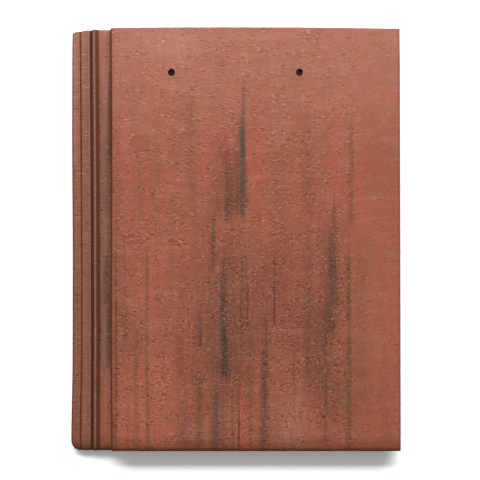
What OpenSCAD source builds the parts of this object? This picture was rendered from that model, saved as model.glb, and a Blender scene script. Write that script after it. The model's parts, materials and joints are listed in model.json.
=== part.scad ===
// Flat interlocking concrete roof tile, cast as one piece.
// X runs across the tile, Y runs up the roof slope to the head, Z is up through the top face.
// The origin is under the middle of the tile, level with the bottoms of the nibs.

/* [Slab] */
// Length up the slope, from the tail edge to the crest of the head edge
tile_length = 422; // [400:1:430]
// Width over both side locks
tile_width = 328; // [324:1:336]
// Thickness of the plain slab
slab_thickness = 15; // [13:0.5:17]
// How far the head edge bows out at its middle
head_bow = 1.5; // [0.5:0.1:3]
// Plan radius of the tail corner beside the underlock
lock_corner_r = 4; // [2:0.5:6]
// Plan radius of the three other corners
corner_r = 1.5; // [1:0.25:3]
// Rounding of the top face's long edges
arris_r = 0.8; // [0.5:0.1:1.5]

/* [Underlock] */
// Width of the lowered strip that the next tile laps over
lock_width = 40.4; // [39:0.2:43]
// Depth of the strip's lands under the top face
land_depth = 14; // [13:0.5:16]
// How far the step up to the top face leans back
step_lean = 2.5; // [1:0.25:4]
// Height of the rib above the lands
rib_height = 7; // [5:0.5:8]
// Distance from the outer edge to the inner foot of the rib
rib_foot = 26.9; // [26:0.1:28]
// Width of the rib at its inner foot, measured to the groove beside it
rib_width = 7.6; // [7:0.1:8.5]
// Width of the rib's top
rib_top = 2.3; // [2:0.1:3]
// How far the rib's inner side leans over its height
rib_lean = 3.3; // [2.8:0.1:3.8]
// Width of the drain groove at the rib's outer foot
groove_width = 2.1; // [1.5:0.1:2.5]
// Depth of the drain groove and of the scored line
groove_depth = 1.4; // [0.8:0.1:2]
// Distance from the outer edge to the scored line along the outer land
line_offset = 8.4; // [7:0.2:10]
// Width of the scored line
line_width = 1.4; // [1:0.1:2]

/* [Overlock] */
// Width that one tile covers once its neighbour laps it
cover_width = 292; // [290:0.5:294]
// Thickness of the overlock strip
overlock_thickness = 12.5; // [11:0.5:13]
// Play between a neighbour's rib and the slot over it, on each side
slot_play = 1.5; // [1:0.25:2]
// Play between a neighbour's rib and the slot's ceiling
slot_headroom = 1; // [0.5:0.25:1.5]

/* [Underside] */
// Depth of the bearing plane under the top face
bearing_depth = 23; // [21:0.5:25]
// Width of the haunch under the underlock, at the bearing plane
haunch_width = 52; // [46:1:60]
// Width of the bearing rib beside the overlock, at the bearing plane
bearing_rib = 13; // [10:1:16]
// Width of the nose bar along the tail, at the bearing plane
nose_width = 12; // [10:1:16]
// Width of a weather bar at its bottom
bar_width = 7; // [5:1:10]
// Depth of a weather bar's bottom under the top face
bar_depth = 20; // [18:0.5:21]
// Spacing from the nose bar to the first weather bar, and on to the second
bar_pitch = 26; // [22:1:32]
// How far a bar's sides lean out over its depth
bar_lean = 4; // [2:0.5:6]

/* [Nibs] */
// Width of each nib
nib_width = 44; // [36:1:52]
// Depth of a nib's bottom under the bearing plane
nib_drop = 10; // [8:0.5:12]
// Thickness of a nib at its bottom
nib_thickness = 9; // [8:0.5:11]
// Thickness of a nib at its root
nib_root = 14; // [13:0.5:16]
// Distance from the head edge to the face that hooks on the batten
nib_setback = 25; // [22:0.5:28]

/* [Nail holes] */
// Diameter of a nail hole
hole_d = 6.5; // [5:0.1:8]
// Distance between the two nail holes
hole_spacing = 127.5; // [120:0.5:136]
// Distance from the head edge to the nail holes
hole_setback = 45.6; // [42:0.2:50]

/* [Hidden] */
concrete = "#a8674f";
tile_height = bearing_depth + nib_drop;
head_radius = (pow(tile_width / 2, 2) + pow(head_bow, 2)) / (2 * head_bow);
head_segments = 1440;
round_segments = 64;
arc_steps = 5;
overrun = 1;
land_r = 1.2;
edge_r = 1.8;
underside_r = 2;
root_r = 3;
rib_r = 1;
groove_r = 0.5;
line_r = 0.3;
slot_r = 0.8;
haunch_lean = 8;
slot_lean = 1;
overlock_gap = 2;
rib_outer_foot = rib_foot - rib_width;
rib_top_end = rib_foot - rib_lean;
groove_start = rib_outer_foot - groove_width;
groove_floor = land_depth + groove_depth;
slot_start = cover_width + rib_outer_foot - slot_play;
slot_end = cover_width + rib_foot + slot_play;
slot_ceiling = land_depth - rib_height - slot_headroom;
rebate_start = cover_width - overlock_gap;
bars_start = haunch_width - underside_r;
bars_end = rebate_start - bearing_rib;

function unit(v) = v / norm(v);

// The arc that rounds one corner of an outline, as a list of points.
function corner_arc(before, corner, after, r) =
    let (
        back = unit(before - corner),
        on = unit(after - corner),
        half = acos(back * on) / 2,
        centre = corner + unit(back + on) * r / sin(half),
        from = corner + back * r / tan(half) - centre,
        to = corner + on * r / tan(half) - centre,
        start = atan2(from[1], from[0]),
        turn = atan2(cross(from, to), from * to)
    )
    [for (i = [0 : arc_steps]) let (a = start + turn * i / arc_steps) centre + r * [cos(a), sin(a)]];

// An outline from corners given as [across, up, rounding radius].
function rounded(corners) =
    let (n = len(corners), at = [for (c = corners) [c[0], c[1]]])
    [
        for (i = [0 : n - 1])
            each corners[i][2] > 0
                ? corner_arc(at[(i + n - 1) % n], at[i], at[(i + 1) % n], corners[i][2])
                : [at[i]]
    ];

// Depths in this outline are negative: the top face is at height 0.
function underside_line() = [
    [0, -bearing_depth, underside_r],
    [haunch_width, -bearing_depth, underside_r],
    [haunch_width + haunch_lean, -slab_thickness, root_r],
    [rebate_start - bearing_rib - bar_lean, -slab_thickness, root_r],
    [rebate_start - bearing_rib, -bearing_depth, underside_r],
    [rebate_start - overlock_gap, -bearing_depth, underside_r],
    [rebate_start, -overlock_thickness, land_r],
    [slot_start, -overlock_thickness, slot_r],
    [slot_start + slot_lean, -slot_ceiling, slot_r],
    [slot_end - slot_lean, -slot_ceiling, slot_r],
    [slot_end, -overlock_thickness, slot_r],
    [tile_width, -overlock_thickness, land_r]
];

function top_line() = [
    [tile_width, 0, arris_r],
    [lock_width, 0, arris_r],
    [lock_width - step_lean, -land_depth, land_r],
    [rib_foot, -land_depth, land_r],
    [rib_top_end, rib_height - land_depth, rib_r],
    [rib_top_end - rib_top, rib_height - land_depth, rib_r],
    [rib_outer_foot, -groove_floor, groove_r],
    [groove_start + groove_width / 2, -groove_floor, groove_r],
    [groove_start, -land_depth, groove_r],
    [line_offset + line_width / 2, -land_depth, line_r],
    [line_offset, -groove_floor + line_r, line_r],
    [line_offset - line_width / 2, -land_depth, line_r],
    [0, -land_depth, edge_r]
];

// Runs a [along the slope, up] profile across the tile, between two distances from the left edge.
module across(x0, x1, profile) {
    translate([x0, 0, 0])
        rotate([90, 0, 90])
            linear_extrude(height = x1 - x0)
                polygon(profile);
}

// Slab, both side locks, haunch and bearing rib: one section, the same from tail to head.
module long_section() {
    translate([0, tile_length, 0])
        rotate([90, 0, 0])
            linear_extrude(height = tile_length)
                polygon(rounded(concat(underside_line(), top_line())));
}

// The nose bar's outer side is the tail end of the tile itself.
module nose_bar() {
    across(bars_start, bars_end + underside_r, rounded([
        [0, -slab_thickness / 2, 0],
        [0, -bearing_depth, 0],
        [nose_width, -bearing_depth, underside_r],
        [nose_width + bar_lean, -slab_thickness, 0],
        [nose_width + bar_lean, -slab_thickness / 2, 0]
    ]));
}

module weather_bar(y) {
    across(bars_start, bars_end + underside_r, rounded([
        [y - bar_lean, -slab_thickness / 2, 0],
        [y - bar_lean, -slab_thickness, 0],
        [y, -bar_depth, underside_r],
        [y + bar_width, -bar_depth, underside_r],
        [y + bar_width + bar_lean, -slab_thickness, 0],
        [y + bar_width + bar_lean, -slab_thickness / 2, 0]
    ]));
}

// A nib hooks over the upper edge of a batten, right above a nail hole.
module nib(x) {
    face = tile_length - nib_setback;
    across(x - nib_width / 2, x + nib_width / 2, rounded([
        [face, -slab_thickness / 2, 0],
        [face, -tile_height, underside_r / 2],
        [face + nib_thickness, -tile_height, underside_r],
        [face + nib_root, -slab_thickness, 0],
        [face + nib_root, -slab_thickness / 2, 0]
    ]));
}

module nail_hole(x) {
    translate([x, tile_length - hole_setback, -slab_thickness - overrun])
        cylinder(h = slab_thickness + 2 * overrun, d = hole_d, $fn = round_segments);
}

// What is cut away outside a plan corner of radius r; the corner points along [sx, sy].
module corner_waste(x, y, sx, sy, r) {
    translate([x - sx * r, y - sy * r, -tile_height - overrun])
        linear_extrude(height = tile_height + 2 * overrun)
            difference() {
                translate([sx > 0 ? 0 : -r - overrun, sy > 0 ? 0 : -r - overrun])
                    square(r + overrun);
                circle(r = r, $fn = round_segments);
            }
}

// The head edge is one shallow arc, highest at the middle of the tile.
module head_arc() {
    translate([tile_width / 2, tile_length - head_radius, -tile_height - overrun])
        cylinder(h = tile_height + 2 * overrun, r = head_radius, $fn = head_segments);
}

module roof_tile() {
    middle = tile_width / 2;
    color(concrete)
        translate([-middle, -tile_length / 2, tile_height])
            difference() {
                intersection() {
                    union() {
                        long_section();
                        nose_bar();
                        for (i = [1 : 2]) weather_bar(nose_width + i * bar_pitch);
                        for (side = [-1, 1]) nib(middle + side * hole_spacing / 2);
                    }
                    head_arc();
                }
                for (side = [-1, 1]) nail_hole(middle + side * hole_spacing / 2);
                corner_waste(0, 0, -1, -1, lock_corner_r);
                corner_waste(tile_width, 0, 1, -1, corner_r);
                corner_waste(0, tile_length - head_bow, -1, 1, corner_r);
                corner_waste(tile_width, tile_length - head_bow, 1, 1, corner_r);
            }
}

roof_tile();
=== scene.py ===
import json
import math

import bmesh
import bpy
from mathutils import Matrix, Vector, noise


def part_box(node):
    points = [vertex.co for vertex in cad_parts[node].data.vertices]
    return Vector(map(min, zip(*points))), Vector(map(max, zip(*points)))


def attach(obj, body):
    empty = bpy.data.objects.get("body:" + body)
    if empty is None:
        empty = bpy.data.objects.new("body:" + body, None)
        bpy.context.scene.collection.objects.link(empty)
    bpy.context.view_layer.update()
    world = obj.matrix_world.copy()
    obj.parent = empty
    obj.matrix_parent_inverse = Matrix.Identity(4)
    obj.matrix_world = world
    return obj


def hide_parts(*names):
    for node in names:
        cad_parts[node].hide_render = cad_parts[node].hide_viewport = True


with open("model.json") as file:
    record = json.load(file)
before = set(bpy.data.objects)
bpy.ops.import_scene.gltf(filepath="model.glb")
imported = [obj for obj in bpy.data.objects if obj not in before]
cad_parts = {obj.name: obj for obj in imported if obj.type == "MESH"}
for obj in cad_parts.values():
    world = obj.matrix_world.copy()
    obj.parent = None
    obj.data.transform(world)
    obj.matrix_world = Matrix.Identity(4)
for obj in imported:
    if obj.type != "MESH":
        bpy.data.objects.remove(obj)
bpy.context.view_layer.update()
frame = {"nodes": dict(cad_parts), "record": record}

# A flat interlocking roof tile of through-coloured concrete, lying on its nibs and nose bar.
# Lengths in this script are millimetres on the tile, and MM turns them to scene units.
MM = 0.001

tile_low, tile_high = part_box("roof_tile")
HALF_WIDTH = tile_high.x / MM
TAIL = tile_low.y / MM
HEAD = tile_high.y / MM
TOP = tile_high.z / MM

# How far the head edge bows out at its middle.
HEAD_BOW = 1.5

# The underlock is the lowered strip on the left that the next tile laps over. Its inner edge is the step up
# to the weather face.
LOCK_EDGE = 40.4 - HALF_WIDTH

# The strip's own colour begins a little way down that step.
STRIP_COLOUR_EDGE = LOCK_EDGE - 1.0

# Heights and places of what the tile rests on: the nose bar at the tail, and the nibs near the head.
NOSE = TOP - 23
NIBS_FROM_HEAD = 20

nail_holes = next(mount for mount in frame["record"]["mounts"] if mount["name"] == "nail_holes")
HOLE_ROW = nail_holes["pos_m"][1] / MM
HOLE_SPACING = nail_holes["dims"]["spacing_x_mm"]
HOLE_RADIUS = nail_holes["dims"]["hole_r_mm"]

# Points this far outside a nail hole's true wall still belong to the wall. The painted shade in the hole
# reaches further.
HOLE_SLACK = 0.05
HOLE_SHADE_REACH = 0.45

# How finely the mesh is cut, so that wear shows on it. Columns run from tail to head, rows run across the
# tile, and courses are level cuts in its two ends. Rows crowd together near the ends, and the underside
# takes only one in a few of them.
COLUMN_PITCH = 3.2
ROW_PITCH = 1.0
ROWS_PER_COARSE = 6
END_ROWS = (0.3, 0.8, 1.5)
COURSE_PITCH = 3.0
FIRST_COURSE = 3.7

# Points that are closer than this count as one, and edges that are longer than this run the whole tile.
HAIR = 0.001
LONG_EDGE = 300

# Faces that meet within this angle in degrees are one flat face, and past the other they meet at an arris.
FLAT_WITHIN = 0.05
ARRIS_OVER = 38

# How far a face's normal has to point along an axis for the face to look that way, or to count as a slope.
# The weather side takes in all that leans up, with the steep sides of the strip's channels.
FACING = 0.9
SLOPING = 0.5
LEANING_UP = 0.1

# The tile's two long sides lie past this, and the walls of the side locks don't.
LONG_SIDES = 0.98 * HALF_WIDTH

# Half the depth of the weather face's waves and ripples, of the underside's lumps and of the sides' waver.
WAVE_DEPTH = 0.16
RIPPLE_DEPTH = 0.07
UNDERSIDE_DEPTH = 0.08
SIDE_DEPTH = 0.07

# How far the strip's outer edge and its channels are pushed in at most, and the right side all along.
EDGE_PUSH = 1.0
CHANNEL_PUSH = 2.0
RIGHT_SIDE_PUSH = 0.25

# How far the face drops at the tail arris, and over which length.
TAIL_DROP = 0.7
TAIL_DROP_LENGTH = 11


def ramp(value, start, stop):
    """0 at start, 1 at stop, level beyond them and even between."""
    return min(1.0, max(0.0, (value - start) / (stop - start)))


def fade(value, start, stop):
    """A ramp that eases in and out."""
    t = ramp(value, start, stop)
    return t * t * (3 - 2 * t)


def rough(first, second, sizes, layer, octaves=3):
    """Noise over two distances, about -1 to 1, in lumps of these sizes. Each octave is twice as fine."""
    spot = Vector((first / sizes[0], second / sizes[1], layer))
    return noise.fractal(spot, 1.0, 2.0, octaves)


# ---------------------------------------------------------------- the tile's mesh


def cut(bm, faces, spot, normal):
    """Cuts these faces by a plane, and returns all that they have become."""
    edges = {e for f in faces for e in f.edges}
    corners = {v for f in faces for v in f.verts}
    made = bmesh.ops.bisect_plane(
        bm, geom=[*faces, *edges, *corners], plane_co=spot, plane_no=normal, dist=HAIR * MM
    )
    return [g for g in made["geom"] if isinstance(g, bmesh.types.BMFace)]


def long_edge_places(bm):
    """Distances across the tile of the edges that run its whole length."""
    places = set()
    for edge in bm.edges:
        a, b = (v.co for v in edge.verts)
        if abs(a.x - b.x) < 10 * HAIR * MM and abs(a.y - b.y) > LONG_EDGE * MM:
            places.add(a.x / MM)
    return places


def cut_columns(bm):
    """Long cuts from head to tail, wherever the section has no edge of its own nearby."""
    edges = long_edge_places(bm)
    count = round(2 * HALF_WIDTH / COLUMN_PITCH)
    for i in range(1, count):
        x = -HALF_WIDTH + 2 * HALF_WIDTH * i / count
        if min(abs(x - e) for e in edges) > COLUMN_PITCH / 4:
            cut(bm, list(bm.faces), (x * MM, 0, 0), (1, 0, 0))


def cut_courses(bm):
    """Level cuts through the two end faces, which were struck off by a blade."""
    ends = [f for f in bm.faces if abs(f.normal.y) > FACING]
    for i in range(int(TOP / COURSE_PITCH) - 1):
        ends = cut(bm, ends, (0, 0, (FIRST_COURSE + i * COURSE_PITCH) * MM), (0, 0, 1))


def row_places():
    """Distances along the tile of its rows of cuts, from tail to head."""
    inset = END_ROWS[-1]
    span = HEAD - TAIL - 2 * inset
    count = round(span / ROW_PITCH)
    near_tail = [TAIL + gap for gap in END_ROWS[:-1]]
    near_head = [HEAD - gap for gap in reversed(END_ROWS[:-1])]
    return near_tail + [TAIL + inset + span * i / count for i in range(count + 1)] + near_head


def cut_rows(bm):
    """Cuts every row on the weather side, and one in a few below."""
    bm.normal_update()
    weather = [f for f in bm.faces if f.normal.z > -SLOPING and abs(f.normal.y) < SLOPING]
    below = [f for f in bm.faces if f.normal.z <= -SLOPING]
    for i, y in enumerate(row_places()):
        groups = [weather, below] if i % ROWS_PER_COARSE == 0 else [weather]
        for group in groups:
            after = cut(bm, group, (0, y * MM, 0), (0, 1, 0))
            group[:] = [f for f in after if f.calc_center_median().y > y * MM]


def round_nail_holes(bm):
    """Sets the walls of the two nail holes out to a true circle."""
    for side in (-0.5, 0.5):
        centre = Vector((side * HOLE_SPACING, HOLE_ROW)) * MM
        for v in bm.verts:
            out = v.co.to_2d() - centre
            if out.length < (HOLE_RADIUS + HOLE_SLACK) * MM:
                out *= HOLE_RADIUS * MM / out.length
                v.co.x, v.co.y = centre + out


def head_sag(x):
    """How far the bowed head edge lies back from its crest."""
    return HEAD_BOW * (x / HALF_WIDTH) ** 2


def strip_bow(x, y):
    """How far the underlock is pushed in at a place: its edge bows, and its channels run in to the tail.

    Between them the push goes over from one to the other, over a margin that widens near the tail.
    """
    edge = EDGE_PUSH * fade(y, 110, -40) * fade(y, -200, -120)
    channels = CHANNEL_PUSH * (1 - ramp(y, -90, 200) ** 1.5)
    margin = 7 + 9 * fade(y, -100, -180)
    on_strip = fade(x, LOCK_EDGE, LOCK_EDGE - 5)
    on_channels = fade(x + HALF_WIDTH, 0, margin) * fade(x, LOCK_EDGE + 16, LOCK_EDGE - 6)
    return edge * on_strip + (channels - edge) * on_channels


def weather_relief(x, y):
    """How far the weather face lies under its highest level. Its ripples calm down on the right."""
    waves = WAVE_DEPTH * (1 + rough(x, y, (70, 90), 1.3, octaves=2))
    ripples = RIPPLE_DEPTH * (1 + rough(x, y, (14, 4.5), 7.7))
    return waves + ripples * (1 - 0.6 * fade(x, 118, 130))


def corner_wear(inset, head_gap, tail_gap):
    """How far the underlock's outer corners have worn back, at these distances in from the three edges."""
    bevel = 2.31 * ramp(inset, 16.5, 0)
    nick = 1.2 * ramp(inset, 2.5, 0) ** 1.5
    rounding = 5.5 * ramp(inset, 7, 0) ** 1.5
    return rounding * fade(tail_gap, 16, 0) - (bevel + nick) * fade(head_gap, 10, 0)


def end_wear(gap, x, layer):
    """How far the top of an end's edge has crumbled down, at a distance in from that end."""
    reach = 1.3 + 0.5 * rough(x, 0, (9, 1), layer)
    depth = 0.6 + 0.3 * rough(x, 3.1, (5, 1), layer, octaves=2)
    return depth * ramp(gap, reach, 0) ** 2


def end_raggedness(x, z, layer):
    """How far an end face lies in from its outermost point."""
    chips = max(0.0, rough(x, z, (3.2, 3), layer + 9, octaves=2))
    return 0.18 * (1 + rough(x, z, (11, 6), layer)) + 0.10 * chips


def side_waver(y, z, length, layer):
    """How far a long side lies in from its outermost point."""
    return SIDE_DEPTH * max(0.0, 1 + rough(y, z, (length, 8), layer))


def wear(bm):
    """Moves each point in from its moulded place, by the relief of the sides that it is on."""
    mould = bm.verts.layers.float_vector.new("mould")
    weather = bm.verts.layers.float.new("weather")
    bm.normal_update()
    moves = []
    for v in bm.verts:
        x, y, z = (c / MM for c in v.co)
        normals = [f.normal for f in v.link_faces]
        head_gap = HEAD - head_sag(x) - y
        tail_gap = y - TAIL
        up = any(n.z > LEANING_UP for n in normals)
        v[mould] = (x, y, z)
        v[weather] = float(up)
        dx = strip_bow(x, y)
        dy = corner_wear(x + HALF_WIDTH, head_gap, tail_gap)
        dz = 0.0
        if up:
            dz -= weather_relief(x, y) + end_wear(head_gap, x, 5.5) + end_wear(tail_gap, x, 8.5)
            dz -= TAIL_DROP * ramp(tail_gap, TAIL_DROP_LENGTH, 0) ** 2
        elif any(n.z < -FACING for n in normals):
            dz += UNDERSIDE_DEPTH * (1 + rough(x, y, (25, 25), 4.4, octaves=2))
        if any(n.y > FACING for n in normals):
            dy -= end_raggedness(x, z, 2.2)
        if any(n.y < -FACING for n in normals):
            dy += end_raggedness(x, z, 6.6)
        if any(n.x < -FACING for n in normals) and x < -LONG_SIDES:
            dx += side_waver(y, z, 13, 3.3)
        if any(n.x > FACING for n in normals) and x > LONG_SIDES:
            dx -= RIGHT_SIDE_PUSH + side_waver(y, z, 17, 9.9)
        moves.append(Vector((dx, dy, dz)) * MM)
    for v, move in zip(bm.verts, moves):
        v.co += move


def roof_tile_mesh():
    """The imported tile, cut finely and worn like a cast one."""
    bm = bmesh.new()
    bm.from_mesh(frame["nodes"]["roof_tile"].data)
    bmesh.ops.remove_doubles(bm, verts=bm.verts, dist=2 * HAIR * MM)
    bmesh.ops.dissolve_limit(bm, angle_limit=math.radians(FLAT_WITHIN), verts=bm.verts, edges=bm.edges)
    cut_columns(bm)
    cut_courses(bm)
    cut_rows(bm)
    round_nail_holes(bm)
    wear(bm)
    bmesh.ops.triangulate(bm, faces=[f for f in bm.faces if len(f.verts) > 4])
    mesh = bpy.data.meshes.new("roof_tile_cast")
    bm.to_mesh(mesh)
    bm.free()
    mesh.shade_smooth()
    mesh.set_sharp_from_angle(angle=math.radians(ARRIS_OVER))
    return mesh


# ---------------------------------------------------------------- materials


def linear(hex_colour):
    """An sRGB hex colour as linear red, green, blue and alpha."""
    parts = [int(hex_colour[i : i + 2], 16) / 255 for i in (1, 3, 5)]
    return [*(c / 12.92 if c <= 0.04045 else ((c + 0.055) / 1.055) ** 2.4 for c in parts), 1.0]


def add(tree, kind, inputs=(), **settings):
    """Adds a node and returns its first output. Each input takes a value or another node's output."""
    node = tree.nodes.new(kind)
    for name, value in settings.items():
        setattr(node, name, value)
    for key, value in dict(inputs).items():
        if isinstance(key, str):
            socket = next(s for s in node.inputs if s.enabled and s.name == key)
        else:
            socket = node.inputs[key]
        if isinstance(value, bpy.types.NodeSocket):
            tree.links.new(value, socket)
        else:
            socket.default_value = value
    return next((s for s in node.outputs if s.enabled), None)


# A flash is a trail of slurry, mostly dark, that the slipper drew out towards the tail as the tile was
# extruded. It comes in over a share of its length at the head end. At the tail end a narrow one stops short
# and a broad one dies away, over a share that grows with each millimetre of its reach. Its core is solid.
FLASH_INPUTS = ("Across", "Along", "Centre", "Head end", "Tail end", "Left", "Right", "Taper", "Weight")
FADE_IN = 0.3
FADE_OUT = 0.05
FADE_OUT_PER_MM = 0.005
SOLID_CORE = 0.1

# How far flashes wander aside on their way down, how far their sides are tattered and their ends frayed.
WANDER = 1.2
TATTER = 1.5
FRAY = 11.0


def flash_group():
    """One flash as a mask. Left and Right are its reach from the centre, and Taper its width at the head end.

    An eased fade is level beyond its ends and needs no clamp. Without clamps many flashes fit one material.
    """
    tree = bpy.data.node_groups.new("flash", "ShaderNodeTree")
    for name in FLASH_INPUTS:
        tree.interface.new_socket(name, in_out="INPUT", socket_type="NodeSocketFloat")
    tree.interface.new_socket("Mask", in_out="OUTPUT", socket_type="NodeSocketFloat")
    given = tree.nodes.new("NodeGroupInput").outputs
    aside = add(tree, "ShaderNodeMath", {0: given["Across"], 1: given["Centre"]}, operation="SUBTRACT")
    on_right = add(tree, "ShaderNodeMath", {0: aside, 1: 0.0}, operation="GREATER_THAN")
    reach = add(
        tree,
        "ShaderNodeMix",
        {"Factor": on_right, "A": given["Left"], "B": given["Right"]},
        data_type="FLOAT",
    )
    share = add(
        tree,
        "ShaderNodeMapRange",
        {
            "Value": given["Along"],
            "From Min": given["Head end"],
            "From Max": given["Tail end"],
            "To Min": given["Taper"],
            "To Max": 1.0,
        },
        clamp=False,
    )
    width = add(tree, "ShaderNodeMath", {0: reach, 1: share}, operation="MULTIPLY")
    off = add(tree, "ShaderNodeMath", {0: aside}, operation="ABSOLUTE")
    off = add(tree, "ShaderNodeMath", {0: off, 1: width}, operation="DIVIDE")
    shown = 1.0
    length = add(tree, "ShaderNodeMath", {0: given["Head end"], 1: given["Tail end"]}, operation="SUBTRACT")
    fade_out = add(
        tree,
        "ShaderNodeMath",
        {0: given["Left"], 1: FADE_OUT_PER_MM, 2: FADE_OUT},
        operation="MULTIPLY_ADD",
    )
    for end, inward, run in (("Head end", -1.0, FADE_IN), ("Tail end", 1.0, fade_out)):
        gap = add(tree, "ShaderNodeMath", {0: given["Along"], 1: given[end]}, operation="SUBTRACT")
        gap = add(tree, "ShaderNodeMath", {0: gap, 1: inward}, operation="MULTIPLY")
        gap = add(tree, "ShaderNodeMath", {0: gap, 1: length}, operation="DIVIDE")
        ease = add(
            tree,
            "ShaderNodeMapRange",
            {"Value": gap, "From Min": 0.0, "From Max": run},
            interpolation_type="SMOOTHSTEP",
            clamp=False,
        )
        shown = add(tree, "ShaderNodeMath", {0: shown, 1: ease}, operation="MULTIPLY")
    body = add(
        tree,
        "ShaderNodeMapRange",
        {"Value": off, "From Min": 1.0, "From Max": SOLID_CORE, "To Min": 0.0, "To Max": given["Weight"]},
        interpolation_type="SMOOTHSTEP",
        clamp=False,
    )
    mask = add(tree, "ShaderNodeMath", {0: body, 1: shown}, operation="MULTIPLY")
    add(tree, "NodeGroupOutput", {0: mask})
    return tree


# Flashes by the colour of their slurry: centre, head end and tail end in mm, reach to the left and to the
# right, taper and weight. First those of the weather face, and then those of the strip's lands.
FACE_FLASHES = {
    "#b8694c": (
        (-88, -95, -260, 66, 52, 0.8, 0.48),
        (130, 60, -140, 24, 30, 0.9, 0.26),
        (-72, -125, -225, 9, 9, 0.8, 0.40),
    ),
    "#b0543a": (
        (7, -100, -235, 6, 5, 0.7, 0.50),
        (24, 118, 0, 10, 10, 0.8, 0.36),
        (47, 25, -75, 20, 20, 0.8, 0.28),
    ),
    "#bd8a78": ((56, -140, -215, 26, 26, 0.8, 0.22), (-62, 236, 172, 62, 54, 1.0, 0.34)),
    "#5a3d2e": (
        (36, 25, -165, 92, 84, 0.8, 0.42),
        (-18, 50, -185, 46, 46, 0.6, 0.36),
        (95, 66, -215, 26, 32, 0.5, 0.40),
        (2, -50, -170, 32, 28, 0.6, 0.40),
        (72, 100, -175, 9, 9, 0.8, 0.30),
        (125, 40, -185, 14, 14, 0.8, 0.24),
        (-121, 130, -250, 4, 9, 0.8, 0.26),
        (-50, 0, -150, 16, 18, 0.8, 0.34),
        (80, -50, -160, 38, 30, 0.6, 0.42),
        (19, -70, -122, 10, 9, 0.8, 0.22),
        (-102, -76, -134, 24, 24, 0.8, 0.20),
    ),
    "#4a3326": (
        (8, 140, 14, 32, 9, 0.15, 0.50),
        (1.5, 104, 15, 6, 6, 0.5, 0.22),
        (-10, 108, 13, 28, 24, 0.25, 0.48),
        (-8.4, 72, 17, 3.6, 3.6, 0.5, 0.36),
        (95, 30, -100, 14, 14, 0.4, 0.36),
        (90.5, -58, -110, 8, 7, 0.6, 0.34),
        (30, -66, -132, 7, 6, 0.6, 0.40),
        (88, -84, -165, 8, 8, 0.6, 0.24),
        (90.0, -128, -225, 4, 4, 0.6, 0.26),
    ),
    "#4b463c": (
        (8.4, 166, 80, 4.6, 3.6, 0.6, 0.60),
        (7.6, 132, 14, 6.6, 4.4, 0.6, 0.82),
        (-45, 155, 25, 9, 8, 0.6, 0.20),
        (72, 150, 20, 10, 9, 0.6, 0.26),
    ),
    "#463b31": (
        (-21.7, 30, -32, 4.0, 3.8, 0.6, 0.64),
        (98.2, 66, -70, 5, 4.6, 0.35, 0.54),
        (95.0, 0, -104, 7.5, 6, 0.5, 0.46),
        (-11.8, 0, -142, 9.5, 8, 0.5, 0.58),
        (-12.6, -45, -108, 8, 6, 0.6, 0.48),
    ),
    "#33251a": ((-11.2, -82, -136, 6.0, 5.5, 0.5, 0.76),),
    "#4a3d36": (
        (-14, -64, -138, 20, 15, 0.6, 0.40),
        (28.6, -92, -225, 9.0, 8.5, 0.5, 0.76),
        (-19.4, -128, -230, 9, 9, 0.6, 0.70),
        (-11.5, -135, -225, 6, 6, 0.8, 0.34),
        (-35.6, -65, -112, 6.5, 6.5, 0.6, 0.50),
        (-58, -88, -140, 7, 7, 0.8, 0.14),
        (-50, -150, -235, 15, 13, 0.6, 0.32),
    ),
    "#504322": (
        (-87.4, 40, -225, 3.8, 3.8, 0.6, 0.48),
        (-98.0, -60, -225, 5, 5, 0.6, 0.40),
        (-110, 30, -110, 3.5, 3.5, 0.6, 0.30),
        (115.6, 125, 10, 6.5, 4, 0.6, 0.52),
        (113.0, 30, -225, 6, 4.4, 0.5, 0.56),
        (111.5, -5, -84, 8, 6, 0.6, 0.44),
        (-35.2, -116, -230, 8, 7, 0.6, 0.54),
        (-2.6, -128, -225, 3, 3, 0.6, 0.42),
        (15.4, -132, -225, 3, 3, 0.6, 0.42),
        (-120.0, -150, -232, 3.6, 3.2, 0.7, 0.60),
    ),
    "#431a0d": (
        (-119.0, 5, -165, 2.4, 2.4, 0.6, 0.66),
        (38.8, 0, -91, 2.0, 2.0, 0.2, 0.90),
        (12.4, -30, -90, 2.0, 2.0, 0.2, 0.80),
        (6.0, -5, -92, 2.0, 1.8, 0.5, 0.42),
        (3.6, -150, -235, 2.2, 2.2, 0.3, 0.85),
        (58.2, -96, -160, 2.0, 2.0, 0.5, 0.35),
        (-34.5, -90, -110, 1.6, 1.6, 0.6, 0.70),
    ),
}

LAND_FLASHES = {
    "#b08272": ((-132, 240, -250, 9, 10, 1.0, 0.40),),
    "#b67a72": ((-163, 250, 70, 5, 7, 1.0, 0.42),),
    "#c47a6c": ((-132, 260, 132, 9, 8, 1.0, 0.50),),
    "#2c2616": (
        (-126.4, 186, 74, 5, 5, 0.5, 0.60),
        (-127.2, 120, -100, 4.5, 4, 0.7, 0.24),
        (-129, 116, 20, 12, 8, 0.7, 0.24),
        (-130, -10, -66, 9, 7, 0.5, 0.46),
        (-128, -50, -134, 7, 6, 0.5, 0.50),
        (-159.5, 20, -250, 6, 4.5, 0.8, 0.16),
    ),
    "#b9694b": ((-132, -120, -235, 10, 12, 0.8, 0.7),),
}

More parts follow.
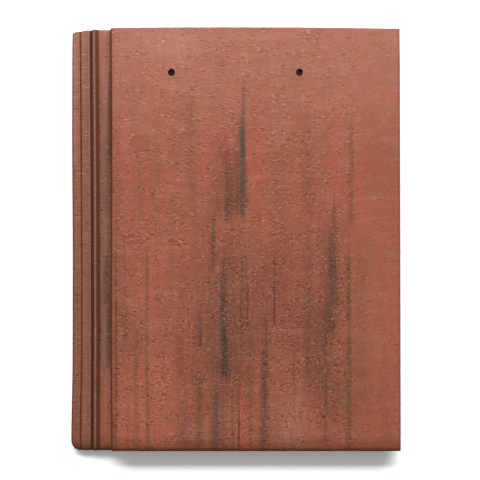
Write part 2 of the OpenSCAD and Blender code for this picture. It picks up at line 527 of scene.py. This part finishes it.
# Patterns in the mix. Cloud and tint are uneven mixing, and drawn and fibre are streaks along the tile.
# Patch, course, fold, ripple and tear are left by the slipper, flaw is where it grips, and wobble makes the
# flashes wander. Each pattern may be bowed as the slipper's marks are, and has its size in mm across, along
# and down the tile, and its detail. Grains of sand are under half a millimetre and fibres of slurry are finer
# still, so both are drawn about three times as coarse to show.
PATTERNS = {
    "cloud": (False, 34, 60, 30, 2),
    "patch": (True, 17, 13, 15, 2),
    "drawn": (False, 11, 170, 8, 2),
    "course": (True, 38, 7, 25, 2),
    "flaw": (True, 12, 7, 9, 2),
    "fold": (True, 16, 3.0, 5, 1),
    "ripple": (True, 5.8, 1.8, 3, 2),
    "tear": (True, 5.0, 1.5, 3, 1),
    "fibre": (False, 1.8, 45, 1.7, 1),
    "sand": (False, 1.45, 1.2, 1.2, 0),
    "wobble": (False, 60, 70, 40, 1),
    "tint": (False, 8, 12, 8, 2),
}

# How far the slipper's marks bow towards the tail in the middle of the tile.
MARK_BOW = 13.75

# Crumbs stand up pale and pits lie deep red: the pale is partly a painted highlight on their lit sides, and
# the deep red partly painted shade in the pits. Each has its pattern, the values where it starts and is full,
# its shares at the head and at the tail, and its height in mm. The sand is everywhere, and the rest only
# where the slipper has worked the face.
CRUMB_HIGHLIGHTS_AND_PIT_SHADES = (
    ("ripple", 0.58, 0.80, 0.34, 0.12, 0.28),
    ("ripple", 0.42, 0.22, 0.42, 0.60, -0.24),
    ("tear", 0.60, 0.76, 0.90, 0.26, 0.25),
    ("tear", 0.40, 0.25, 0.62, 0.90, -0.25),
    ("line", 0.00, 1.00, 0.24, 0.60, -0.30),
    ("sand", 0.50, 0.80, 0.14, 0.30, 0.18),
    ("sand", 0.50, 0.20, 0.19, 0.45, -0.18),
)

# Steep sides and the face beside the step, arrises and the scored line are darkened with painted shade, and
# the drain groove's pale lip is a painted highlight. Each band has its colour, middle, half width, the fade
# beyond that and its weight. First those that run
# along the tile: groove, lip, rib side, step, scored line, outer edge, rib top, the face beside the step and
# right edge.
PAINTED_SHADE = "#632f17"
LONG_BANDS = (
    (PAINTED_SHADE, -144.4, 1.5, 0.5, 0.90),
    ("#c79a86", -147.0, 0.3, 0.7, 0.30),
    (PAINTED_SHADE, -138.9, 1.4, 0.5, 0.60),
    (PAINTED_SHADE, -124.3, 1.2, 0.5, 0.72),
    (PAINTED_SHADE, -155.6, 0.6, 0.6, 0.75),
    (PAINTED_SHADE, -164.0, 1.0, 0.9, 0.80),
    ("#7d6152", -141.8, 0.4, 0.8, 0.45),
    (PAINTED_SHADE, -122.5, 0.0, 4.0, 0.10),
    (PAINTED_SHADE, 162.4, 0.3, 0.9, 0.34),
)

# Then those that run across it: two at the tail edge, partly a deeper tint and partly painted shade where the
# face rounds down away from the light, and one at the head edge, painted shade along its arris.
CROSS_BANDS = (
    (PAINTED_SHADE, TAIL, 0.0, 17, 0.62),
    ("#3a1409", TAIL, 1.5, 3.0, 0.62),
    (PAINTED_SHADE, HEAD, 0.3, 1.0, 0.45),
)


def mix_patterns(tree, place, across, along, depth):
    """Every pattern in the mix as noise, by name."""
    off_middle = add(tree, "ShaderNodeMath", {0: across, 1: across}, operation="MULTIPLY")
    off_middle = add(tree, "ShaderNodeMath", {0: off_middle, 1: LOCK_EDGE**2}, operation="MINIMUM")
    bow = add(tree, "ShaderNodeMath", {0: off_middle, 1: MARK_BOW / LOCK_EDGE**2}, operation="MULTIPLY")
    set_back = add(tree, "ShaderNodeMath", {0: along, 1: bow}, operation="SUBTRACT")
    bowed = add(tree, "ShaderNodeCombineXYZ", {0: across, 1: set_back, 2: depth})
    pattern = {}
    for name, (is_bowed, wide, long, deep, detail) in PATTERNS.items():
        spot = add(
            tree,
            "ShaderNodeMapping",
            {"Vector": bowed if is_bowed else place, "Scale": (1 / wide, 1 / long, 1 / deep)},
        )
        pattern[name] = add(
            tree, "ShaderNodeTexNoise", {"Vector": spot, "Scale": 1.0, "Detail": float(detail)}
        )
    return pattern


def body_colour(tree, pattern, along, down):
    """Terracotta, redder here and browner there, with wisps of cement on it, a pale bloom at the head that is
    partly a painted sheen, and painted shade deepening the tail.
    """
    drawn = add(tree, "ShaderNodeMapRange", {"Value": down, "To Min": 0.35, "To Max": 1.0})
    pattern["drawn"] = add(
        tree, "ShaderNodeMix", {"Factor": drawn, "A": 0.5, "B": pattern["drawn"]}, data_type="FLOAT"
    )
    tone = add(tree, "ShaderNodeMath", {0: pattern["cloud"], 1: pattern["drawn"]})
    tone = add(tree, "ShaderNodeMapRange", {"Value": tone, "From Min": 0.75, "From Max": 1.25})
    colour = add(
        tree,
        "ShaderNodeMix",
        {"Factor": tone, "A": linear("#965940"), "B": linear("#a45842")},
        data_type="RGBA",
    )

    # The pigment is not quite even: a little yellower here and pinker there.
    hue = add(tree, "ShaderNodeMapRange", {"Value": pattern["tint"], "From Min": 0.3, "From Max": 0.7})
    hue = add(
        tree,
        "ShaderNodeMix",
        {"Factor": hue, "A": linear("#8f6a2e"), "B": linear("#b0506c")},
        data_type="RGBA",
    )
    colour = add(tree, "ShaderNodeMix", {"Factor": 0.10, "A": colour, "B": hue}, data_type="RGBA")

    for name, weight in (("patch", 0.07), ("course", 0.06)):
        wisp = add(
            tree,
            "ShaderNodeMapRange",
            {"Value": pattern[name], "From Min": 0.5, "From Max": 0.75, "To Max": weight},
        )
        colour = add(
            tree, "ShaderNodeMix", {"Factor": wisp, "A": colour, "B": linear("#c9a08f")}, data_type="RGBA"
        )

    # Paler at the head, partly cement bloom and partly a painted sheen, and darker towards the tail as
    # painted shade.
    for start, stop, hex_colour, weight in ((60, 215, "#c99d8a", 0.21), (-40, -230, "#7d452f", 0.08)):
        reach = add(
            tree,
            "ShaderNodeMapRange",
            {"Value": along, "From Min": start, "From Max": stop, "To Max": weight},
            interpolation_type="SMOOTHSTEP",
        )
        colour = add(
            tree, "ShaderNodeMix", {"Factor": reach, "A": colour, "B": linear(hex_colour)}, data_type="RGBA"
        )
    return colour


def strip_colour(tree, colour, along, on_strip):
    """The underlock is pressed by another tool and comes out greyer, with more laitance at its head end."""
    grey = add(tree, "ShaderNodeMath", {0: on_strip, 1: 0.8}, operation="MULTIPLY")
    colour = add(
        tree, "ShaderNodeMix", {"Factor": grey, "A": colour, "B": linear("#875b48")}, data_type="RGBA"
    )
    laitance = add(
        tree, "ShaderNodeMapRange", {"Value": along, "From Min": 130, "From Max": 205, "To Max": 0.12}
    )
    laitance = add(tree, "ShaderNodeMath", {0: laitance, 1: on_strip}, operation="MULTIPLY")
    return add(
        tree, "ShaderNodeMix", {"Factor": laitance, "A": colour, "B": linear("#d09a8c")}, data_type="RGBA"
    )


def flash_masks(tree, flashes, across, along, broken):
    """Lays these flashes over one another, as one mask."""
    group = bpy.data.node_groups.get("flash") or flash_group()
    clear = 1.0
    for flash in flashes:
        given = dict(zip(FLASH_INPUTS, (across, along, *map(float, flash))))
        mask = add(tree, "ShaderNodeGroup", given, node_tree=group)
        mask = add(tree, "ShaderNodeMath", {0: mask, 1: broken}, operation="MULTIPLY")
        left = add(tree, "ShaderNodeMath", {0: 1.0, 1: mask}, operation="SUBTRACT")
        left = add(tree, "ShaderNodeMath", {0: left, 1: 0.0}, operation="MAXIMUM")
        clear = add(tree, "ShaderNodeMath", {0: clear, 1: left}, operation="MULTIPLY")
    return add(tree, "ShaderNodeMath", {0: 1.0, 1: clear}, operation="SUBTRACT")


def flashed(tree, colour, pattern, across, along, weather, on_strip, off_strip):
    """Flashes wander a little on their way down, and the sand and the slipper's ripples tear their edges."""
    aside = across
    for name, swing in (("wobble", WANDER), ("tear", TATTER)):
        shift = add(tree, "ShaderNodeMapRange", {"Value": pattern[name], "To Min": -swing, "To Max": swing})
        aside = add(tree, "ShaderNodeMath", {0: aside, 1: shift})
    shift = add(tree, "ShaderNodeMapRange", {"Value": pattern["fibre"], "To Min": -FRAY, "To Max": FRAY})
    onward = add(tree, "ShaderNodeMath", {0: along, 1: shift})
    fibres = add(
        tree,
        "ShaderNodeMapRange",
        {"Value": pattern["fibre"], "From Min": 0.3, "From Max": 0.7, "To Min": 0.65, "To Max": 1.15},
    )
    torn = add(
        tree,
        "ShaderNodeMapRange",
        {"Value": pattern["ripple"], "From Min": 0.3, "From Max": 0.7, "To Min": 1.15, "To Max": 0.75},
    )
    broken = add(tree, "ShaderNodeMath", {0: fibres, 1: torn}, operation="MULTIPLY")
    broken = add(tree, "ShaderNodeMath", {0: broken, 1: weather}, operation="MULTIPLY")
    on_face = add(tree, "ShaderNodeMath", {0: broken, 1: off_strip}, operation="MULTIPLY")
    on_lands = add(tree, "ShaderNodeMath", {0: broken, 1: on_strip}, operation="MULTIPLY")
    for by_colour, where in ((FACE_FLASHES, on_face), (LAND_FLASHES, on_lands)):
        for hex_colour, flashes in by_colour.items():
            mask = flash_masks(tree, flashes, aside, onward, where)
            slurry = linear(hex_colour)
            colour = add(
                tree, "ShaderNodeMix", {"Factor": mask, "A": colour, "B": slurry}, data_type="RGBA"
            )
    return colour


def shaded(tree, colour, pattern, calm):
    """Light and dark patches, courses and streaks, where the slipper pressed more or less."""
    for name, swing in (("patch", 0.14), ("course", 0.16), ("drawn", 0.28)):
        shade = add(tree, "ShaderNodeMath", {0: pattern[name], 1: 0.5}, operation="SUBTRACT")
        shade = add(tree, "ShaderNodeMath", {0: shade, 1: calm}, operation="MULTIPLY")
        shade = add(tree, "ShaderNodeMath", {0: shade, 1: swing, 2: 1.0}, operation="MULTIPLY_ADD")
        colour = add(tree, "ShaderNodeVectorMath", {0: colour, "Scale": shade}, operation="SCALE")
    return colour


def drag_lines(tree, pattern):
    """Where the slipper caught: thin lines between the folds of a stretched pattern, in rippled parts."""
    fold = add(tree, "ShaderNodeMath", {0: pattern["fold"], 1: 0.5}, operation="SUBTRACT")
    fold = add(tree, "ShaderNodeMath", {0: fold}, operation="ABSOLUTE")
    line = add(tree, "ShaderNodeMapRange", {"Value": fold, "From Min": 0.03, "From Max": 0.0})
    caught = add(
        tree, "ShaderNodeMapRange", {"Value": pattern["ripple"], "From Min": 0.45, "From Max": 0.6}
    )
    return add(tree, "ShaderNodeMath", {0: line, 1: caught}, operation="MULTIPLY")


def crumbs_and_pits_with_painted_light(tree, colour, pattern, down, worked, busy):
    """The face's colour with its crumbs and pits, partly painted highlight and painted shade, and their
    height in mm.
    """
    crumb_highlights, pit_shades, height = 0.0, 0.0, 0.0
    for name, edge, full, at_head, at_tail, rise in CRUMB_HIGHLIGHTS_AND_PIT_SHADES:
        mask = add(
            tree, "ShaderNodeMapRange", {"Value": pattern[name], "From Min": edge, "From Max": full}
        )
        where = busy if name == "sand" else worked
        mask = add(tree, "ShaderNodeMath", {0: mask, 1: where}, operation="MULTIPLY")
        share = add(tree, "ShaderNodeMix", {"Factor": down, "A": at_head, "B": at_tail}, data_type="FLOAT")
        amount = add(tree, "ShaderNodeMath", {0: mask, 1: share}, operation="MULTIPLY")
        if rise > 0:
            crumb_highlights = add(tree, "ShaderNodeMath", {0: crumb_highlights, 1: amount})
        else:
            pit_shades = add(tree, "ShaderNodeMath", {0: pit_shades, 1: amount})
        lift = add(tree, "ShaderNodeMath", {0: amount, 1: rise}, operation="MULTIPLY")
        height = add(tree, "ShaderNodeMath", {0: height, 1: lift})
    # Crumbs mix towards a pale that is partly a painted highlight, and pits towards a deep red that is partly
    # painted shade.
    for amount, hex_colour in ((crumb_highlights, "#dda08d"), (pit_shades, "#5e2210")):
        amount = add(tree, "ShaderNodeMath", {0: amount, 1: 0.9}, operation="MINIMUM")
        colour = add(
            tree, "ShaderNodeMix", {"Factor": amount, "A": colour, "B": linear(hex_colour)}, data_type="RGBA"
        )
    return colour, height


def banded(tree, colour, across, along, weather):
    """Painted shade on the weather side's steep sides, arrises and scored line, a painted highlight on the
    groove's lip, and a greyer rib top.
    """
    bands = [(across, *band) for band in LONG_BANDS] + [(along, *band) for band in CROSS_BANDS]
    # Most bands mix in painted shade. The groove's lip mixes in a painted highlight, and the rib top a greyer
    # colour.
    for way, hex_colour, middle, half, fading, weight in bands:
        off = add(tree, "ShaderNodeMath", {0: way, 1: middle}, operation="SUBTRACT")
        off = add(tree, "ShaderNodeMath", {0: off}, operation="ABSOLUTE")
        mask = add(
            tree,
            "ShaderNodeMapRange",
            {"Value": off, "From Min": half + fading, "From Max": half, "To Max": weight},
        )
        mask = add(tree, "ShaderNodeMath", {0: mask, 1: weather}, operation="MULTIPLY")
        colour = add(
            tree, "ShaderNodeMix", {"Factor": mask, "A": colour, "B": linear(hex_colour)}, data_type="RGBA"
        )
    return colour


def painted_hole_shade(tree, colour, across, along):
    """Near-black painted shade down the nail holes, reaching just over their rims."""
    side = add(tree, "ShaderNodeMath", {0: across}, operation="ABSOLUTE")
    spot = add(tree, "ShaderNodeCombineXYZ", {0: side, 1: along})
    hole = (HOLE_SPACING / 2, HOLE_ROW, 0.0)
    out = add(tree, "ShaderNodeVectorMath", {0: spot, 1: hole}, operation="DISTANCE").node
    hole_shade = add(
        tree,
        "ShaderNodeMapRange",
        {
            "Value": out.outputs["Value"],
            "From Min": HOLE_RADIUS + HOLE_SHADE_REACH,
            "From Max": HOLE_RADIUS + HOLE_SLACK,
        },
    )
    # Mixes the hole walls and rims towards near black, as painted shade.
    return add(
        tree, "ShaderNodeMix", {"Factor": hole_shade, "A": colour, "B": linear("#1c0d08")}, data_type="RGBA"
    )


def through_coloured_concrete():
    """Sand, cement and red pigment, extruded under a slipper and cured: dull, and faintly rough all over."""
    concrete = bpy.data.materials.new("through_coloured_concrete")
    concrete.use_nodes = True
    tree = concrete.node_tree
    tree.nodes.clear()
    place = add(tree, "ShaderNodeAttribute", attribute_name="mould").node.outputs["Vector"]
    weather = add(tree, "ShaderNodeAttribute", attribute_name="weather").node.outputs["Fac"]
    split = add(tree, "ShaderNodeSeparateXYZ", {0: place}).node.outputs
    across, along = split["X"], split["Y"]
    pattern = mix_patterns(tree, place, across, along, split["Z"])

    # The slipper draws the mix out more and more from the head down to the middle of the tile.
    down = add(tree, "ShaderNodeMapRange", {"Value": along, "From Min": 190, "From Max": -60})
    colour = body_colour(tree, pattern, along, down)
    on_strip = add(tree, "ShaderNodeMath", {0: across, 1: STRIP_COLOUR_EDGE}, operation="LESS_THAN")
    off_strip = add(tree, "ShaderNodeMath", {0: 1.0, 1: on_strip}, operation="SUBTRACT")
    colour = strip_colour(tree, colour, along, on_strip)
    colour = flashed(tree, colour, pattern, across, along, weather, on_strip, off_strip)

    # It works the strip less than the face, and the rolled edge on the right least of all, and does so in
    # patches.
    calm = add(
        tree,
        "ShaderNodeMapRange",
        {"Value": across, "From Min": 108, "From Max": 124, "To Min": 1.0, "To Max": 0.5},
    )
    pressed = add(tree, "ShaderNodeMapRange", {"Value": on_strip, "To Min": 1.0, "To Max": 0.8})
    calm = add(tree, "ShaderNodeMath", {0: calm, 1: pressed}, operation="MULTIPLY")
    colour = shaded(tree, colour, pattern, calm)
    busy = add(
        tree,
        "ShaderNodeMapRange",
        {"Value": pattern["flaw"], "From Min": 0.42, "From Max": 0.60, "To Min": 0.25, "To Max": 1.0},
    )
    busy = add(tree, "ShaderNodeMath", {0: busy, 1: calm}, operation="MULTIPLY")
    worked = add(tree, "ShaderNodeMath", {0: busy, 1: weather}, operation="MULTIPLY")
    pattern["line"] = drag_lines(tree, pattern)
    colour, height = crumbs_and_pits_with_painted_light(tree, colour, pattern, down, worked, busy)
    colour = banded(tree, colour, across, along, weather)
    colour = painted_hole_shade(tree, colour, across, along)

    relief = add(tree, "ShaderNodeBump", {"Height": height, "Strength": 1.0, "Distance": MM})
    shader = add(
        tree,
        "ShaderNodeBsdfPrincipled",
        {"Base Color": colour, "Roughness": 0.7, "Specular IOR Level": 0.15, "Normal": relief},
    )
    add(tree, "ShaderNodeOutputMaterial", {"Surface": shader})
    return concrete


tile = bpy.data.objects.new("cast_roof_tile", roof_tile_mesh())
bpy.context.scene.collection.objects.link(tile)
tile.data.materials.append(through_coloured_concrete())
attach(tile, "root")
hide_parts("roof_tile")


# ---------------------------------------------------------------- floor, light, camera

# The floor's colour for the light that falls on it, and for the eye that looks at it.
LIT_WHITE = (0.60, 0.62, 0.62, 1.0)
SEEN_WHITE = (1.72, 1.82, 1.84, 1.0)

# Half the side of the floor.
FLOOR_REACH = 6000


def white_board():
    """Matt board, painted white: it shows white to the eye, and sends only a soft light back to the tile."""
    material = bpy.data.materials.new("matt_white_board")
    material.use_nodes = True
    tree = material.node_tree
    tree.nodes.clear()
    rays = add(tree, "ShaderNodeLightPath").node.outputs
    seen = add(
        tree,
        "ShaderNodeMath",
        {0: rays["Is Camera Ray"], 1: rays["Is Glossy Ray"]},
        operation="MAXIMUM",
    )
    seen = add(tree, "ShaderNodeMath", {0: seen, 1: rays["Is Transmission Ray"]}, operation="MAXIMUM")
    white = add(
        tree,
        "ShaderNodeMix",
        {"Factor": seen, "A": LIT_WHITE, "B": SEEN_WHITE},
        data_type="RGBA",
        clamp_factor=True,
    )
    board = add(tree, "ShaderNodeBsdfDiffuse", {"Color": white})
    add(tree, "ShaderNodeOutputMaterial", {"Surface": board})
    return material


def floor():
    """A board that slopes a little, so that the tile lies on its nibs and its nose bar."""
    half = FLOOR_REACH * MM
    nibs = tile_high.y - NIBS_FROM_HEAD * MM
    slope = -NOSE * MM / (nibs - tile_low.y)
    corners = [(-half, -half), (half, -half), (half, half), (-half, half)]
    mesh = bpy.data.meshes.new("floor")
    mesh.from_pydata([(x, y, slope * (y - nibs)) for x, y in corners], [], [(0, 1, 2, 3)])
    board = bpy.data.objects.new("floor", mesh)
    board.data.materials.append(white_board())
    bpy.context.scene.collection.objects.link(board)


def softbox(name, spot, width, height, watts):
    """A soft lamp that points at the middle of the tile. Its place and size are in metres."""
    lamp = bpy.data.lights.new(name, "AREA")
    lamp.shape = "RECTANGLE"
    lamp.size = width
    lamp.size_y = height
    lamp.energy = watts
    holder = bpy.data.objects.new(name, lamp)
    holder.location = spot
    holder.rotation_euler = (-Vector(spot)).to_track_quat("-Z", "Y").to_euler()
    bpy.context.scene.collection.objects.link(holder)


def camera():
    """A long lens, nearly straight above and a little towards the tail. Its distance is in metres."""
    lens = bpy.data.cameras.new("camera")
    lens.lens = 141.2
    lens.sensor_width = 36.0
    distance = 1.87
    tilt = math.radians(1.5)
    aim = Vector((4.55 * MM, -1.5 * MM, tile_high.z))
    holder = bpy.data.objects.new("camera", lens)
    holder.location = aim + distance * Vector((0, -math.sin(tilt), math.cos(tilt)))
    holder.rotation_euler = (tilt, 0, 0)
    bpy.context.scene.collection.objects.link(holder)
    bpy.context.scene.camera = holder


def room(strength):
    """White walls all round, as an even light."""
    world = bpy.data.worlds.new("studio")
    bpy.context.scene.world = world
    world.use_nodes = True
    walls = world.node_tree.nodes["Background"].inputs
    walls["Color"].default_value = (1, 1, 1, 1)
    walls["Strength"].default_value = strength


floor()
softbox("head_side_softbox", (0, 1.60, 1.60), width=4.5, height=1.15, watts=88)
room(0.26)
camera()
bpy.context.scene.view_settings.view_transform = "Standard"
